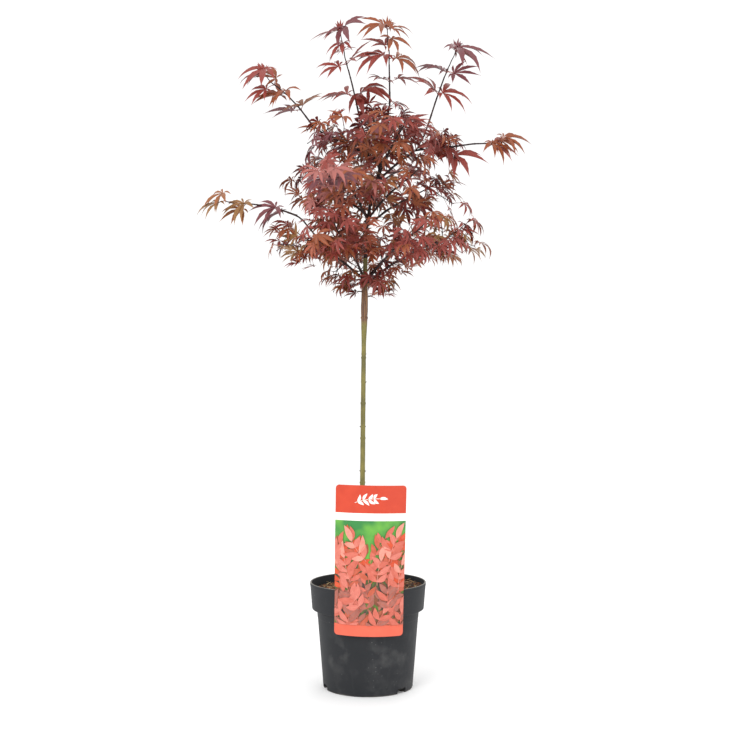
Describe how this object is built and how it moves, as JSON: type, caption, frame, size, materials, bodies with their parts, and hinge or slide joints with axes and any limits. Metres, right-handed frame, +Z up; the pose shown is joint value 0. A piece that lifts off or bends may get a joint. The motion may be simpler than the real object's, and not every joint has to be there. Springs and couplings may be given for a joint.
{
  "type": "potted japanese maple",
  "caption": "Small Japanese maple grafted as a standard: rounded red-leaved head on a clear green stem, in a dark plastic nursery pot with a picture card hooked over the rim.",
  "frame": {"origin": "centre of the pot's flat underside, on the surface that the pot stands on", "axes": "+Z up the stem, +X to the right and +Y to the back as seen facing the picture card"},
  "size_m": [0.5213, 0.4635, 1.0929],
  "materials": {
    "pot_plastic": "matte",
    "potting_soil": "rough, crumbly",
    "printed_card": "laminated, slightly glossy",
    "green_bark": "smooth, satin",
    "young_bark": "smooth, satin",
    "leaves": "satin"
  },
  "bodies": {
    "root": {"pot": "pot_plastic", "soil": "potting_soil", "card": "printed_card", "trunk": "green_bark", "leader": "young_bark", "bough_lower_back_left": "young_bark", "bough_lower_back_right": "young_bark", "bough_lower_front_left": "young_bark", "bough_lower_front_right": "young_bark", "bough_lower_left": "young_bark", "bough_lower_right": "young_bark", "bough_middle_back": "young_bark", "bough_middle_front_left": "young_bark", "bough_middle_front_right": "young_bark", "bough_middle_left": "young_bark", "bough_middle_right": "young_bark", "bough_upper_back": "young_bark", "bough_upper_front": "young_bark", "bough_upper_left": "young_bark", "bough_upper_right": "young_bark", "leaves_back_right": "leaves", "leaves_far_left": "leaves", "leaves_far_left_collar": "leaves", "leaves_far_right": "leaves", "leaves_far_right_collar": "leaves", "leaves_front_left": "leaves", "leaves_high_left": "leaves", "leaves_high_left_collar": "leaves", "leaves_lower_back_left": "leaves", "leaves_lower_back_right": "leaves", "leaves_lower_front_left": "leaves", "leaves_lower_front_right": "leaves", "leaves_lower_left": "leaves", "leaves_lower_right": "leaves", "leaves_middle_back": "leaves", "leaves_middle_front_left": "leaves", "leaves_middle_front_right": "leaves", "leaves_middle_left": "leaves", "leaves_middle_right": "leaves", "leaves_skirt_left": "leaves", "leaves_skirt_right": "leaves", "leaves_top": "leaves", "leaves_top_centre": "leaves", "leaves_top_centre_collar": "leaves", "leaves_top_left": "leaves", "leaves_top_left_collar": "leaves", "leaves_top_right": "leaves", "leaves_top_right_collar": "leaves", "leaves_upper_back": "leaves", "leaves_upper_front": "leaves", "leaves_upper_left": "leaves", "leaves_upper_right": "leaves", "shoot_back_right": "young_bark", "shoot_far_left": "young_bark", "shoot_far_right": "young_bark", "shoot_front_left": "young_bark", "shoot_high_left": "young_bark", "shoot_top_centre": "young_bark", "shoot_top_left": "young_bark", "shoot_top_right": "young_bark"}
  },
  "joints": []
}
